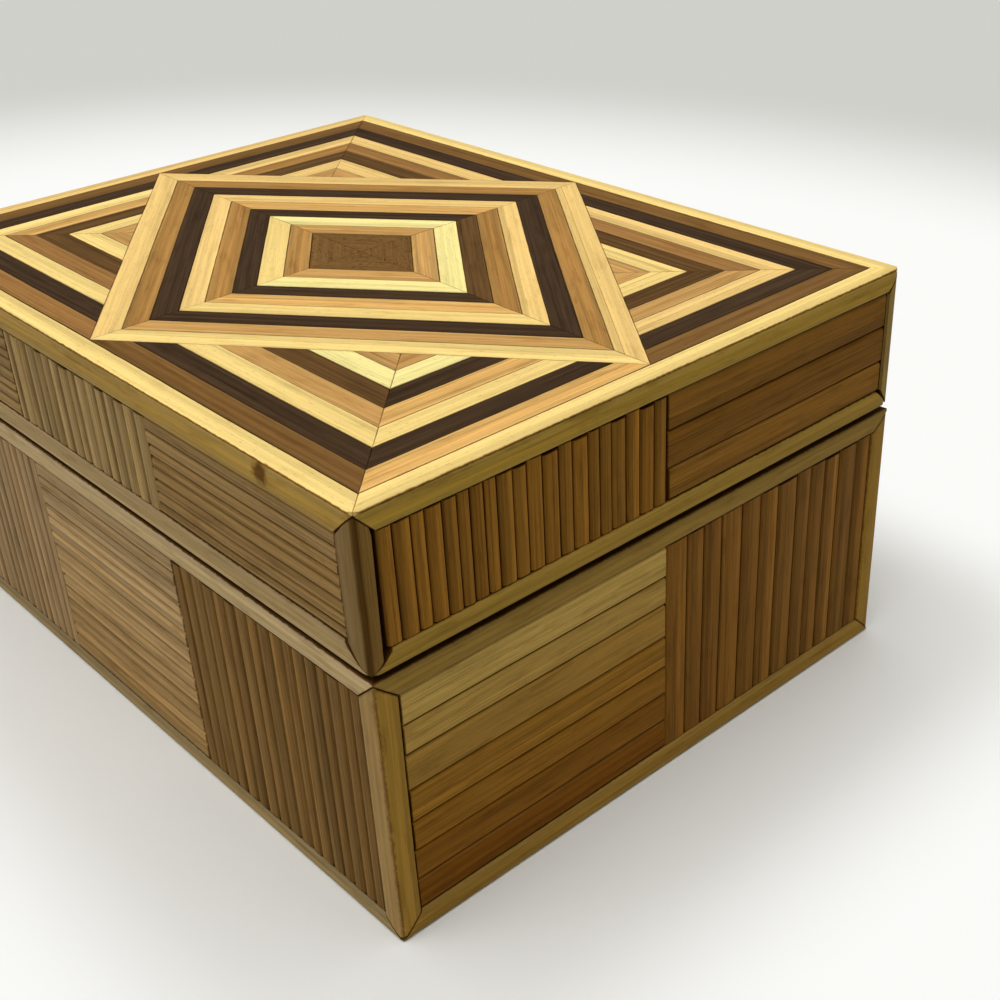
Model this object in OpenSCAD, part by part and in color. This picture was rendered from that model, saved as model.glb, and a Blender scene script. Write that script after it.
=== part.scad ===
// Inlaid trinket box: a hinged wooden box dressed with strips of split reed and bamboo.
// The origin is the centre of the underside. X runs along the length, Y to the back, Z up.

/* [Box] */
// Outside length of the box, left to right
box_w = 200; // [160:1:320]
// Outside depth of the box, front to back
box_d = 151.5; // [120:0.5:240]
// Height of the base up to its rim
base_h = 63.2; // [44:0.1:110]
// Height of the lid from its rim to its top
lid_h = 33.6; // [26:0.1:60]
// Gap between the two rims when the box is closed
lid_gap = 1.2; // [0.9:0.1:1.6]

/* [Boards] */
// Thickness of the side boards
wall_t = 6; // [5:0.1:9]
// Thickness of the bottom board
floor_t = 4; // [3:0.1:8]
// Thickness of the board under the inlaid top
top_t = 4; // [3:0.1:8]

/* [Edging] */
// Thickness of the edging strips and of the inlay on the top
edging_t = 2.2; // [1.8:0.1:3]
// Face width of the edging along the top of the lid's long sides
lid_top_long = 6.2; // [4:0.1:8]
// Face width of the edging along the top of the lid's ends
lid_top_end = 5; // [4:0.1:8]
// Face width of the edging along the rim of the lid's long sides
lid_rim_long = 5.4; // [3.5:0.1:7]
// Face width of the edging along the rim of the lid's ends
lid_rim_end = 4.6; // [3.5:0.1:7]
// Width of the lid's corner posts on the long sides
post_long = 6.8; // [5:0.1:9]
// Width of the lid's corner posts on the ends
post_end = 4.6; // [4:0.1:9]
// Radius of the lid's rounded corners
post_r = 3; // [1:0.1:4]
// Face width of the edging round the rim of the base
base_rim = 4.9; // [3.5:0.1:7]
// Face width of the edging along the foot of the base's long sides
foot_long = 4.2; // [3.5:0.1:7]
// Face width of the edging along the foot of the base's ends
foot_end = 5.4; // [3.5:0.1:7]
// Width of the strips at the corners of the base
base_corner = 5.6; // [4:0.1:8]
// Rounding of the base's corners
base_corner_r = 0.6; // [0.4:0.1:1.5]
// Bevel on the outer edges of every strip
crown = 0.5; // [0.2:0.1:0.8]
// Width of the glue line between two strips
seam = 0.12; // [0:0.02:0.2]

/* [Side panels] */
// Thickness of the strips that cover the side boards
strip_t = 1.8; // [1:0.1:2.2]
// Left edge of the middle panel on the long sides, left of the centre
long_split_left = 35; // [20:0.5:50]
// Right edge of the middle panel on the long sides, right of the centre
long_split_right = 28.3; // [20:0.1:50]
// Usual width of an upright reed on the lid's long sides
lid_long_reed = 4; // [2.5:0.1:8]
// Usual width of a level slat on the lid's long sides
lid_long_slat = 2.8; // [2:0.1:8]
// Usual width of an upright reed on the lid's ends
lid_end_reed = 3.5; // [2.5:0.1:8]
// Usual width of a level slat on the lid's ends
lid_end_slat = 8; // [4:0.1:10]
// Usual width of an upright reed on the base's long sides
base_long_reed = 3.8; // [2.5:0.1:8]
// Usual width of a level slat on the base's long sides
base_long_slat = 4; // [2:0.1:8]
// Usual width of an upright reed on the base's ends
base_end_reed = 5.8; // [2.5:0.1:8]
// Usual width of a level slat on the base's ends
base_end_slat = 7.5; // [4:0.1:10]
// How much the strips of a panel differ in width, as a share
strip_spread = 0.18; // [0:0.01:0.3]

/* [Top] */
// Width of the pale border round the top
border = 5.3; // [4:0.1:8]

/* [Lining] */
// Thickness of the felt on the inner walls
lining_t = 1; // [0.6:0.1:2]
// Bare wood left between the felt and each rim
lining_drop = 3; // [1:0.5:8]
// Thickness of the felt pad on the floor
floor_pad_t = 2.5; // [1:0.1:6]
// Thickness of the felt pad inside the lid
lid_pad_t = 2; // [1:0.1:5]
// Room round the pads
pad_play = 0.4; // [0.2:0.1:1]

/* [Hinges] */
// Centre of each hinge from the middle of the box
hinge_out = 58; // [35:1:65]
// Length of each hinge along the back
hinge_len = 22; // [16:1:30]
// Hinge pin's centre inside the back face
hinge_inset = 0.8; // [0.6:0.05:1]
// Radius of the hinge's barrel
barrel_r = 1.4; // [1.2:0.1:1.8]
// Radius of the hinge pin
pin_r = 0.6; // [0.4:0.05:0.7]
// Thickness of a hinge leaf
leaf_t = 0.8; // [0.75:0.05:1]
// Wood left between a leaf's edge and the inside of its wall
leaf_margin = 0.8; // [0.4:0.1:1.2]
// Running room between pin and bore, and between leaves and knuckles
hinge_play = 0.05; // [0.03:0.01:0.1]
// Room between the barrel and the wood round it
mortise_play = 0.2; // [0.1:0.05:0.4]
// Radius of a hinge screw's shank
screw_r = 0.7; // [0.5:0.05:0.9]
// Radius of a hinge screw's head
screw_head_r = 1.3; // [1:0.05:1.5]
// Length of a hinge screw
screw_len = 6; // [4:0.5:10]
// Distance of each screw from the middle of its leaf
screw_out = 6.5; // [5:0.5:10]

/* [Hidden] */
// Widths of the six nested strips of the corner fields, from the border inwards
field_strips = [5.8, 5.8, 5.5, 5.6, 5.9, 5.9];
// Widths of the eight bands of the lozenge, from its edge inwards
lozenge_strips = [6, 5.3, 5.8, 5.2, 5.6, 5.2, 5.8, 5.7];

front = 0;
right = 1;
back = 2;
left = 3;
sides = [front, right, back, left];

pale = "burlywood";
olive = "darkkhaki";
reed_brown = "peru";
slat_brown = "tan";
board_brown = "sienna";
felt = "darkred";
field_colors = ["sienna", "#2b2018", "wheat", "peru", "#4a3020", "moccasin"];
lozenge_colors = ["wheat", "peru", "#2b2018", "burlywood", "sienna", "#2b2018", "moccasin", "tan"];

total_h = base_h + lid_gap + lid_h;
lid_z = base_h + lid_gap;
inlay_z = total_h - edging_t;
core_w = box_w - 2 * edging_t;
core_d = box_d - 2 * edging_t;
inner_w = core_w - 2 * wall_t;
inner_d = core_d - 2 * wall_t;
lid_ceiling = inlay_z - top_t;
panel_y = edging_t - strip_t;
edge = 0.01;
overcut = 1;
quarter = 90;
mitre = 45;
corner_steps = 3;
round_fn = 48;

// Seeds of the chance by which the strips of each panel differ in width
lid_reed_seed = 11;
lid_left_slat_seed = 21;
lid_right_slat_seed = 31;
base_left_reed_seed = 41;
base_right_reed_seed = 51;
base_slat_seed = 61;

hinge_y = box_d / 2 - hinge_inset;
hinge_z = base_h + lid_gap / 2;
knuckle = hinge_len / 3;
leaf_reach = edging_t + wall_t - hinge_inset - leaf_margin;
leaf_far = hinge_play + leaf_t;
screw_y = box_d / 2 - edging_t - wall_t / 2 - hinge_y;
screw_head_share = 0.75;
screw_head_h = leaf_t * screw_head_share;
pin_head_t = 0.5;

function is_long(side) = side % 2 == 0;
function face_len(side) = is_long(side) ? box_w : box_d;
function face_out(side) = is_long(side) ? box_d / 2 : box_w / 2;
function lid_top(side) = is_long(side) ? lid_top_long : lid_top_end;
function lid_rim(side) = is_long(side) ? lid_rim_long : lid_rim_end;
function post(side) = is_long(side) ? post_long : post_end;
function foot(side) = is_long(side) ? foot_long : foot_end;

// Sum of the first n values of a list
function sum_to(v, n) = n <= 0 ? 0 : v[n - 1] + sum_to(v, n - 1);
function cross2(a, b) = a[0] * b[1] - a[1] * b[0];

// An outline, given anticlockwise, drawn in by the same amount along every edge
function drawn_in(p, by) = [
    for (i = [0 : len(p) - 1])
        let (
            before = p[(i + len(p) - 1) % len(p)],
            here = p[i],
            after = p[(i + 1) % len(p)],
            into = (here - before) / norm(here - before),
            out = (after - here) / norm(after - here)
        )
        here + by * (out - into) / cross2(into, out)
];

// A side face is drawn as the front: X along it, Y into the box from its surface, Z up
module on_face(side) {
    rotate([0, 0, side * quarter])
        translate([0, -face_out(side), 0])
            children();
}

module along_face(x0, x1) {
    translate([x0, 0, 0])
        rotate([quarter, 0, quarter])
            linear_extrude(x1 - x0)
                children();
}

module through_face(y1) {
    translate([0, y1, 0])
        rotate([quarter, 0, 0])
            linear_extrude(y1)
                children();
}

module up_face(z0, z1) {
    translate([0, 0, z0])
        linear_extrude(z1 - z0)
            children();
}

module block(x, y, z) {
    translate([x[0], y[0], z[0]])
        cube([x[1] - x[0], y[1] - y[0], z[1] - z[0]]);
}

// Section of a strip between a0 and a1, its outer edges bevelled; d is its depth
function crowned(a0, a1, y0, d) = [
    [a0, y0 + d], [a0, y0 + crown], [a0 + crown, y0],
    [a1 - crown, y0], [a1, y0 + crown], [a1, y0 + d]
];
function swapped(p) = [for (q = p) [q[1], q[0]]];

// Plan of a strip that runs corner to corner, mitred at its ends and rounded at the corners
function mitred_plan(length, depth, r) =
    let (
        half = length / 2 - seam / 2,
        arc = [for (i = [0 : corner_steps])
            let (a = mitre + i * mitre / corner_steps) [r - r * cos(a), r - r * sin(a)]]
    )
    concat(
        [[-half + depth, depth]],
        [for (p = arc) [-half + p[0], p[1]]],
        [for (i = [corner_steps : -1 : 0]) [half - arc[i][0], arc[i][1]]],
        [[half - depth, depth]]
    );

// Face of a level strip between z0 and z1, mitred into uprights; in_low and in_high
// are how far the uprights reach in at its lower and upper edge
function level_face(length, z0, z1, in_low, in_high) =
    let (half = length / 2 - seam)
    [[-half + in_low, z0], [half - in_low, z0], [half - in_high, z1], [-half + in_high, z1]];

// Edging

module level_strip(side, z0, z1, in_low, in_high, r) {
    intersection() {
        along_face(-box_w, box_w)
            polygon(swapped(crowned(z0, z1, 0, edging_t)));
        through_face(edging_t)
            polygon(level_face(face_len(side), z0, z1, in_low, in_high));
        up_face(z0, z1)
            polygon(mitred_plan(face_len(side), edging_t, r));
    }
}

// The top edging and the border meet in a mitre along the upper edge of the lid
module arris_strip(side) {
    z0 = total_h - lid_top(side);
    z1 = total_h - seam;
    intersection() {
        along_face(-box_w, box_w)
            polygon([
                [edging_t, z0], [crown, z0], [0, z0 + crown],
                [0, z1 - crown], [crown / 2, z1 - crown / 2], [edging_t, z1 - edging_t]
            ]);
        through_face(edging_t)
            polygon(level_face(face_len(side), z0, total_h, post(side), 0));
        up_face(z0, total_h)
            polygon(mitred_plan(face_len(side), edging_t, post_r));
    }
}

module border_strip(side) {
    intersection() {
        along_face(-box_w, box_w)
            polygon([
                [crown / 2, total_h - crown / 2], [crown, total_h], [border - seam, total_h],
                [border - seam, inlay_z], [edging_t, inlay_z]
            ]);
        up_face(inlay_z, total_h)
            polygon(mitred_plan(face_len(side), border, post_r));
    }
}

// An upright at the left end of a side of the base, mitred into rim, foot and next side
module base_upright(side) {
    x0 = -face_len(side) / 2;
    intersection() {
        up_face(0, base_h)
            polygon([
                [x0 + edging_t + seam / 2, edging_t], [x0 + base_corner_r + seam / 2, base_corner_r],
                [x0 + base_corner_r + crown, 0], [x0 + base_corner - crown, 0],
                [x0 + base_corner, crown], [x0 + base_corner, edging_t]
            ]);
        through_face(edging_t)
            polygon([
                [x0, seam], [x0 + base_corner, foot(side) + seam],
                [x0 + base_corner, base_h - base_rim - seam], [x0, base_h - seam]
            ]);
    }
}

module base_rim_edging() {
    color(olive)
        difference() {
            for (side = sides)
                on_face(side)
                    level_strip(side, base_h - base_rim, base_h, base_corner, 0, base_corner_r);
            base_hinge_room();
        }
}

module base_foot_edging() {
    color(olive)
        for (side = sides)
            on_face(side)
                level_strip(side, 0, foot(side), 0, base_corner, base_corner_r);
}

module base_corner_edging() {
    color(olive)
        for (side = sides)
            on_face(side) {
                base_upright(side);
                mirror([1, 0, 0])
                    base_upright(side);
            }
}

module lid_top_edging() {
    color(olive)
        for (side = sides)
            on_face(side)
                arris_strip(side);
}

module lid_rim_edging() {
    color(olive)
        difference() {
            for (side = sides)
                on_face(side)
                    level_strip(side, lid_z, lid_z + lid_rim(side), 0, post(side), post_r);
            lid_hinge_room();
        }
}

// One rounded strip wraps each corner of the lid and is pointed at both ends
module corner_post() {
    reach = edging_t + post_long;
    intersection() {
        up_face(lid_z, total_h)
            polygon(concat(
                [[-post_long, 0]],
                [for (i = [-corner_steps : corner_steps])
                    let (a = mitre + i * mitre / corner_steps)
                    [-post_r + post_r * sin(a), post_r - post_r * cos(a)]],
                [[0, post_end], [-edging_t, post_end], [-edging_t, edging_t], [-post_long, edging_t]]
            ));
        through_face(reach)
            polygon([
                [0, lid_z + seam], [0, total_h - seam],
                [-post_long, total_h - lid_top_long - seam],
                [-post_long, lid_z + lid_rim_long + seam]
            ]);
        along_face(-reach, 0)
            polygon([
                [0, lid_z + seam], [post_end, lid_z + lid_rim_end + seam],
                [post_end, total_h - lid_top_end - seam], [0, total_h - seam]
            ]);
    }
}

module lid_corner_posts() {
    color(olive)
        for (mx = [0, 1], my = [0, 1])
            mirror([mx, 0, 0])
                mirror([0, my, 0])
                    translate([box_w / 2, -box_d / 2, 0])
                        corner_post();
}

// Side panels

function count(width, usual) = max(2, round(width / usual));
function shares(n, seed) = rands(1 - strip_spread, 1 + strip_spread, n, seed);

// Upright reeds side by side from x0 to x1
module reeds(x0, x1, z0, z1, usual, seed) {
    n = count(x1 - x0, usual);
    w = shares(n, seed);
    k = (x1 - x0) / sum_to(w, n);
    for (i = [0 : n - 1])
        up_face(z0 + seam, z1 - seam)
            polygon(crowned(
                x0 + k * sum_to(w, i) + seam / 2, x0 + k * sum_to(w, i + 1) - seam / 2,
                panel_y, strip_t
            ));
}

// Level slats one above another from z0 to z1
module slats(x0, x1, z0, z1, usual, seed) {
    n = count(z1 - z0, usual);
    w = shares(n, seed);
    k = (z1 - z0) / sum_to(w, n);
    for (i = [0 : n - 1])
        along_face(x0 + seam, x1 - seam)
            polygon(swapped(crowned(
                z0 + k * sum_to(w, i) + seam / 2, z0 + k * sum_to(w, i + 1) - seam / 2,
                panel_y, strip_t
            )));
}

function lid_z0(side) = lid_z + lid_rim(side);
function lid_z1(side) = total_h - lid_top(side);
function base_z1(side) = base_h - base_rim;
function panel_ends(side, corner) =
    let (half = face_len(side) / 2 - corner)
    is_long(side)
        ? [-half, -long_split_left, long_split_right, half]
        : [-half, 0, half];

module lid_reeds(side) {
    p = panel_ends(side, post(side));
    usual = is_long(side) ? lid_long_reed : lid_end_reed;
    first = is_long(side) ? 1 : 0;
    color(reed_brown)
        on_face(side)
            reeds(p[first], p[first + 1], lid_z0(side), lid_z1(side), usual, lid_reed_seed + side);
}

module lid_slats(side) {
    p = panel_ends(side, post(side));
    usual = is_long(side) ? lid_long_slat : lid_end_slat;
    color(slat_brown)
        on_face(side) {
            if (is_long(side))
                slats(p[0], p[1], lid_z0(side), lid_z1(side), usual, lid_left_slat_seed + side);
            slats(
                p[len(p) - 2], p[len(p) - 1], lid_z0(side), lid_z1(side),
                usual, lid_right_slat_seed + side
            );
        }
}

module base_reeds(side) {
    p = panel_ends(side, base_corner);
    usual = is_long(side) ? base_long_reed : base_end_reed;
    color(reed_brown)
        on_face(side) {
            if (is_long(side))
                reeds(p[0], p[1], foot(side), base_z1(side), usual, base_left_reed_seed + side);
            reeds(
                p[len(p) - 2], p[len(p) - 1], foot(side), base_z1(side),
                usual, base_right_reed_seed + side
            );
        }
}

module base_slats(side) {
    p = panel_ends(side, base_corner);
    usual = is_long(side) ? base_long_slat : base_end_slat;
    first = is_long(side) ? 1 : 0;
    color(slat_brown)
        on_face(side)
            slats(p[first], p[first + 1], foot(side), base_z1(side), usual, base_slat_seed + side);
}

// Top

field_x = box_w / 2 - border;
field_y = box_d / 2 - border;

module inlay(outline) {
    up_face(inlay_z, total_h)
        polygon(drawn_in(outline, seam / 2));
}

module in_quarters() {
    for (mx = [0, 1], my = [0, 1])
        mirror([mx, 0, 0])
            mirror([0, my, 0])
                children();
}

// Two strips of a corner field, from d0 to d1 in from the border, cut by the lozenge
module field_pair(d0, d1) {
    inlay([
        [field_x * d1 / field_y, field_y - d1], [field_x - d1, field_y - d1],
        [field_x - d0, field_y - d0], [field_x * d0 / field_y, field_y - d0]
    ]);
    inlay([
        [field_x - d1, field_y * d1 / field_x], [field_x - d0, field_y * d0 / field_x],
        [field_x - d0, field_y - d0], [field_x - d1, field_y - d1]
    ]);
}

module top_field(i) {
    color(field_colors[i])
        in_quarters()
            field_pair(sum_to(field_strips, i), sum_to(field_strips, i + 1));
}

// The two small triangles that close each corner field
module top_field_hearts() {
    d = sum_to(field_strips, len(field_strips));
    tip = [field_x - d, field_y - d];
    meet_x = field_x * d / field_y;
    meet_y = field_y * d / field_x;
    k = (1 - tip[0] / field_x - tip[1] / field_y) / (1 / field_x + 1 / field_y);
    foot_point = tip + [k, k];
    color(slat_brown)
        in_quarters() {
            inlay([[meet_x, tip[1]], foot_point, tip]);
            inlay([[tip[0], meet_y], tip, foot_point]);
        }
}

lozenge_depth = field_x * field_y / norm([field_x, field_y]);

// Four strips of the lozenge, from d0 to d1 in from its edge
module lozenge_band(i) {
    k0 = 1 - sum_to(lozenge_strips, i) / lozenge_depth;
    k1 = 1 - sum_to(lozenge_strips, i + 1) / lozenge_depth;
    color(lozenge_colors[i])
        in_quarters()
            inlay([
                [k1 * field_x, 0], [k0 * field_x, 0],
                [0, k0 * field_y], [0, k1 * field_y]
            ]);
}

module lozenge_heart() {
    k = 1 - sum_to(lozenge_strips, len(lozenge_strips)) / lozenge_depth;
    color(board_brown)
        in_quarters()
            inlay([[0, 0], [k * field_x, 0], [0, k * field_y]]);
}

module top_border() {
    color(pale)
        for (side = sides)
            on_face(side)
                border_strip(side);
}

// Boards

module base_floor() {
    color(board_brown)
        block([-core_w / 2, core_w / 2], [-core_d / 2, core_d / 2], [0, floor_t]);
}

module base_front_wall() {
    color(board_brown)
        block([-core_w / 2, core_w / 2], [-core_d / 2, -inner_d / 2], [floor_t, base_h]);
}

module base_back_wall() {
    color(board_brown)
        difference() {
            block([-core_w / 2, core_w / 2], [inner_d / 2, core_d / 2], [floor_t, base_h]);
            base_hinge_room();
        }
}

module base_right_wall() {
    color(board_brown)
        block([inner_w / 2, core_w / 2], [-inner_d / 2, inner_d / 2], [floor_t, base_h]);
}

module base_left_wall() {
    mirror([1, 0, 0])
        base_right_wall();
}

module lid_top_board() {
    color(board_brown)
        block([-core_w / 2, core_w / 2], [-core_d / 2, core_d / 2], [lid_ceiling, inlay_z]);
}

module lid_front_wall() {
    color(board_brown)
        block([-core_w / 2, core_w / 2], [-core_d / 2, -inner_d / 2], [lid_z, lid_ceiling]);
}

module lid_back_wall() {
    color(board_brown)
        difference() {
            block([-core_w / 2, core_w / 2], [inner_d / 2, core_d / 2], [lid_z, lid_ceiling]);
            lid_hinge_room();
        }
}

module lid_right_wall() {
    color(board_brown)
        block([inner_w / 2, core_w / 2], [-inner_d / 2, inner_d / 2], [lid_z, lid_ceiling]);
}

module lid_left_wall() {
    mirror([1, 0, 0])
        lid_right_wall();
}

// Felt

module felt_walls(z0, z1) {
    for (m = [0, 1]) {
        mirror([0, m, 0])
            block([-inner_w / 2, inner_w / 2], [inner_d / 2 - lining_t, inner_d / 2], [z0, z1]);
        mirror([m, 0, 0])
            block(
                [inner_w / 2 - lining_t, inner_w / 2],
                [-inner_d / 2 + lining_t, inner_d / 2 - lining_t], [z0, z1]
            );
    }
}

module felt_pad(z0, z1) {
    x = inner_w / 2 - lining_t - pad_play;
    y = inner_d / 2 - lining_t - pad_play;
    block([-x, x], [-y, y], [z0, z1]);
}

module base_lining() {
    color(felt)
        felt_walls(floor_t, base_h - lining_drop);
}

module base_floor_pad() {
    color(felt)
        felt_pad(floor_t, floor_t + floor_pad_t);
}

module lid_lining() {
    color(felt)
        felt_walls(lid_z + lining_drop, lid_ceiling);
}

module lid_pad() {
    color(felt)
        felt_pad(lid_ceiling - lid_pad_t, lid_ceiling);
}

// Hinges, drawn about the pin's centre; the lid's half is the base's half turned over

module at_hinges() {
    for (x = [-hinge_out, hinge_out])
        translate([x, hinge_y, hinge_z])
            children();
}

module rod(x0, x1, r) {
    translate([x0, 0, 0])
        rotate([0, quarter, 0])
            cylinder(h = x1 - x0, r = r, $fn = round_fn);
}

module at_screws() {
    for (x = [-screw_out, screw_out])
        translate([x, screw_y, -hinge_play])
            children();
}

module screw_shape(play) {
    translate([0, 0, -screw_head_h])
        cylinder(h = screw_head_h, r1 = screw_r + play, r2 = screw_head_r + play, $fn = round_fn);
    translate([0, 0, -screw_len - play])
        cylinder(h = screw_len - screw_head_h + play + edge, r = screw_r + play, $fn = round_fn);
}

// Wood cut away for one leaf, the barrel and the screws of the lower half
module leaf_room() {
    half = hinge_len / 2 + hinge_play;
    block([-half, half], [-leaf_reach - hinge_play, 0], [-leaf_far, lid_gap]);
    rod(-half - pin_head_t - mortise_play, half + pin_head_t + mortise_play, barrel_r + mortise_play);
    at_screws()
        screw_shape(hinge_play);
}

module base_hinge_room() {
    at_hinges()
        leaf_room();
}

module lid_hinge_room() {
    at_hinges()
        mirror([0, 0, 1])
            leaf_room();
}

// A leaf with its own knuckles, cut away round those of the other leaf
module leaf(knuckles, others) {
    difference() {
        union() {
            difference() {
                block(
                    [-hinge_len / 2, hinge_len / 2],
                    [-leaf_reach, pin_r / 2], [-leaf_far, -hinge_play]
                );
                for (k = others)
                    block(
                        [k[0] - hinge_play, k[1] + hinge_play],
                        [-barrel_r - mortise_play, barrel_r], [-barrel_r, barrel_r]
                    );
            }
            for (k = knuckles)
                rod(k[0], k[1], barrel_r);
        }
        rod(-hinge_len, hinge_len, pin_r + hinge_play);
        at_screws()
            screw_shape(hinge_play);
    }
}

outer_knuckles = [
    [-hinge_len / 2 + hinge_play, -knuckle / 2 - 2 * hinge_play],
    [knuckle / 2 + 2 * hinge_play, hinge_len / 2 - hinge_play]
];
middle_knuckle = [[-knuckle / 2, knuckle / 2]];

module hinge_base_leaves() {
    color("goldenrod")
        at_hinges()
            leaf(outer_knuckles, middle_knuckle);
}

module hinge_lid_leaves() {
    color("gold")
        at_hinges()
            mirror([0, 0, 1])
                leaf(middle_knuckle, [
                    [-hinge_len / 2 - overcut, -knuckle / 2 - hinge_play],
                    [knuckle / 2 + hinge_play, hinge_len / 2 + overcut]
                ]);
}

module hinge_pins() {
    half = hinge_len / 2 + hinge_play;
    color("darkgoldenrod")
        at_hinges() {
            rod(-half - pin_head_t, half + pin_head_t, pin_r);
            rod(-half - pin_head_t, -half, barrel_r);
            rod(half, half + pin_head_t, barrel_r);
        }
}

module hinge_base_screws() {
    color("goldenrod")
        at_hinges()
            at_screws()
                screw_shape(0);
}

module hinge_lid_screws() {
    color("gold")
        at_hinges()
            mirror([0, 0, 1])
                at_screws()
                    screw_shape(0);
}

base_floor();
base_front_wall();
base_back_wall();
base_left_wall();
base_right_wall();
base_lining();
base_floor_pad();
base_rim_edging();
base_foot_edging();
base_corner_edging();
base_reeds(front);  // base_front_reeds
base_slats(front);  // base_front_slats
base_reeds(right);  // base_right_reeds
base_slats(right);  // base_right_slats
base_reeds(back);  // base_back_reeds
base_slats(back);  // base_back_slats
base_reeds(left);  // base_left_reeds
base_slats(left);  // base_left_slats
hinge_base_leaves();
hinge_pins();
hinge_base_screws();
lid_top_board();
lid_front_wall();
lid_back_wall();
lid_left_wall();
lid_right_wall();
lid_lining();
lid_pad();
lid_top_edging();
lid_rim_edging();
lid_corner_posts();
lid_reeds(front);  // lid_front_reeds
lid_slats(front);  // lid_front_slats
lid_reeds(right);  // lid_right_reeds
lid_slats(right);  // lid_right_slats
lid_reeds(back);  // lid_back_reeds
lid_slats(back);  // lid_back_slats
lid_reeds(left);  // lid_left_reeds
lid_slats(left);  // lid_left_slats
hinge_lid_leaves();
hinge_lid_screws();
top_border();
top_field(0);  // top_field_1
top_field(1);  // top_field_2
top_field(2);  // top_field_3
top_field(3);  // top_field_4
top_field(4);  // top_field_5
top_field(5);  // top_field_6
top_field_hearts();
lozenge_band(0);  // lozenge_band_1
lozenge_band(1);  // lozenge_band_2
lozenge_band(2);  // lozenge_band_3
lozenge_band(3);  // lozenge_band_4
lozenge_band(4);  // lozenge_band_5
lozenge_band(5);  // lozenge_band_6
lozenge_band(6);  // lozenge_band_7
lozenge_band(7);  // lozenge_band_8
lozenge_heart();
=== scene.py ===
import math
import random

import bmesh
import bpy
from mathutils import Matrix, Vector, noise


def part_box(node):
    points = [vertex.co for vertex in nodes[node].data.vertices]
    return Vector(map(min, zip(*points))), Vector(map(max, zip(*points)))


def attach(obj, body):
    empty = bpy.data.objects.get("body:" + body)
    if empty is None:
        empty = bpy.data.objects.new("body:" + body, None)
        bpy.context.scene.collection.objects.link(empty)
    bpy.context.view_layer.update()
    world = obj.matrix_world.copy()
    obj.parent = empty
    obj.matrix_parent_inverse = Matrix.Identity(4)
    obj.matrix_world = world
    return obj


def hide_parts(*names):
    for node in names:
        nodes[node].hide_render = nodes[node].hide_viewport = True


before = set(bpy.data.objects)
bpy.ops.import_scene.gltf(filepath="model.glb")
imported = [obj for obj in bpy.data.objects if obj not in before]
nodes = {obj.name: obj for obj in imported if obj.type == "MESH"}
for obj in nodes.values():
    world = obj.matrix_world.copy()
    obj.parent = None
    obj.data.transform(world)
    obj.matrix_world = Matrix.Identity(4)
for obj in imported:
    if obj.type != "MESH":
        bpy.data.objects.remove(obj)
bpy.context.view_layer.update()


# Camera
# It stands off the front right corner, a little above the lid, where the photograph was taken from.
# Its place, turn and lens follow from the straight edges of the box in the photograph.
camera_place = (0.27111, -0.18516, 0.21413)
camera_turns = (59.117, 2.001, 47.136)
camera_shift = (-0.049, 0.028)
lens_mm = 51.45
sensor_mm = 36

camera_lens = bpy.data.cameras.new("camera")
camera_lens.sensor_width = sensor_mm
camera_lens.lens = lens_mm
camera_lens.shift_x, camera_lens.shift_y = camera_shift
camera = bpy.data.objects.new("camera", camera_lens)
camera.location = camera_place
camera.rotation_euler = [math.radians(turn) for turn in camera_turns]
bpy.context.scene.collection.objects.link(camera)
bpy.context.scene.camera = camera
bpy.context.scene.view_settings.view_transform = "Standard"


# Studio
# A white table top, which shows a shadow only close to the box, turns grey further off and sweeps up
# into a wall all round. Soft light comes from all of the sky above, and a little more from a large
# lamp that hangs over the front.
class Value:
    """An output of a shader node. Sums on it add Math nodes."""

    def __init__(self, finish, socket):
        self.finish = finish
        self.socket = socket

    def sum(self, operation, first, second):
        return self.finish.add("ShaderNodeMath", {"operation": operation}, {0: first, 1: second})

    def __add__(self, other):
        return self.sum("ADD", self, other)

    def __sub__(self, other):
        return self.sum("SUBTRACT", self, other)

    def __rsub__(self, other):
        return self.sum("SUBTRACT", other, self)

    def __mul__(self, other):
        return self.sum("MULTIPLY", self, other)

    def __pow__(self, other):
        return self.sum("POWER", self, other)

    def __rpow__(self, other):
        return self.sum("POWER", other, self)

    def __abs__(self):
        return self.sum("ABSOLUTE", self, 0.0)

    __radd__ = __add__
    __rmul__ = __mul__


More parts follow.
